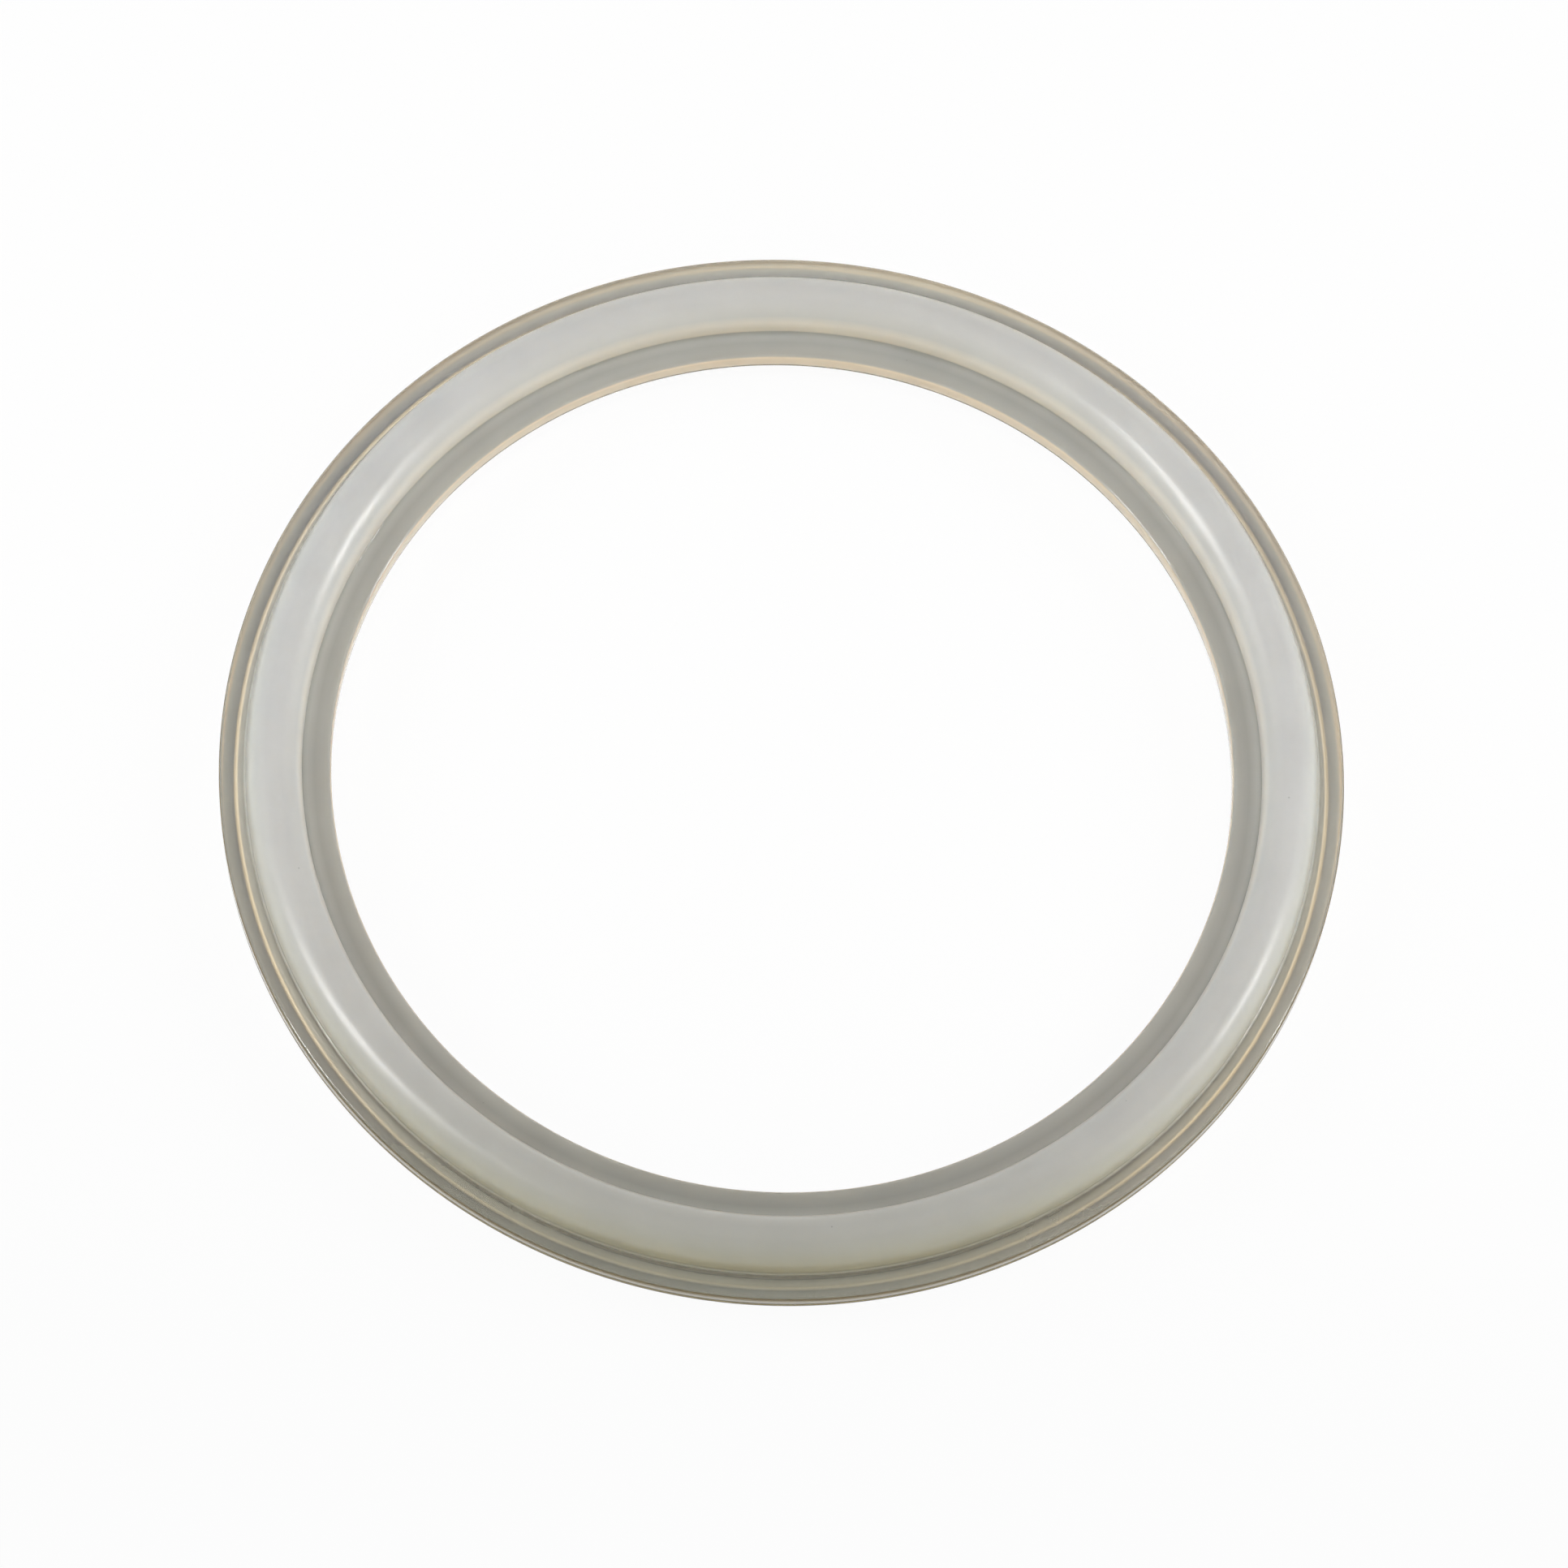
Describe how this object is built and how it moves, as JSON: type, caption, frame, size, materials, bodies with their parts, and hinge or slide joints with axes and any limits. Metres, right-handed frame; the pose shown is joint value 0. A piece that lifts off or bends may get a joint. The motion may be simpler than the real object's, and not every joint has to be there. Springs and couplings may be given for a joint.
{
  "type": "sealing ring gasket",
  "caption": "Translucent silicone sealing ring: a thin flat land with a half-round bead on each face, clamped between two pipe ferrules.",
  "frame": {"origin": "centre of the bore at half the land's thickness", "axes": "+Z along the bore's axis, out of the upper face; the ring is the same all the way round, so +X is free"},
  "size_m": [0.091, 0.091, 0.0072],
  "materials": {
    "silicone": "translucent moulded silicone, satin"
  },
  "bodies": {
    "root": {"seal_ring": "silicone"}
  },
  "joints": []
}
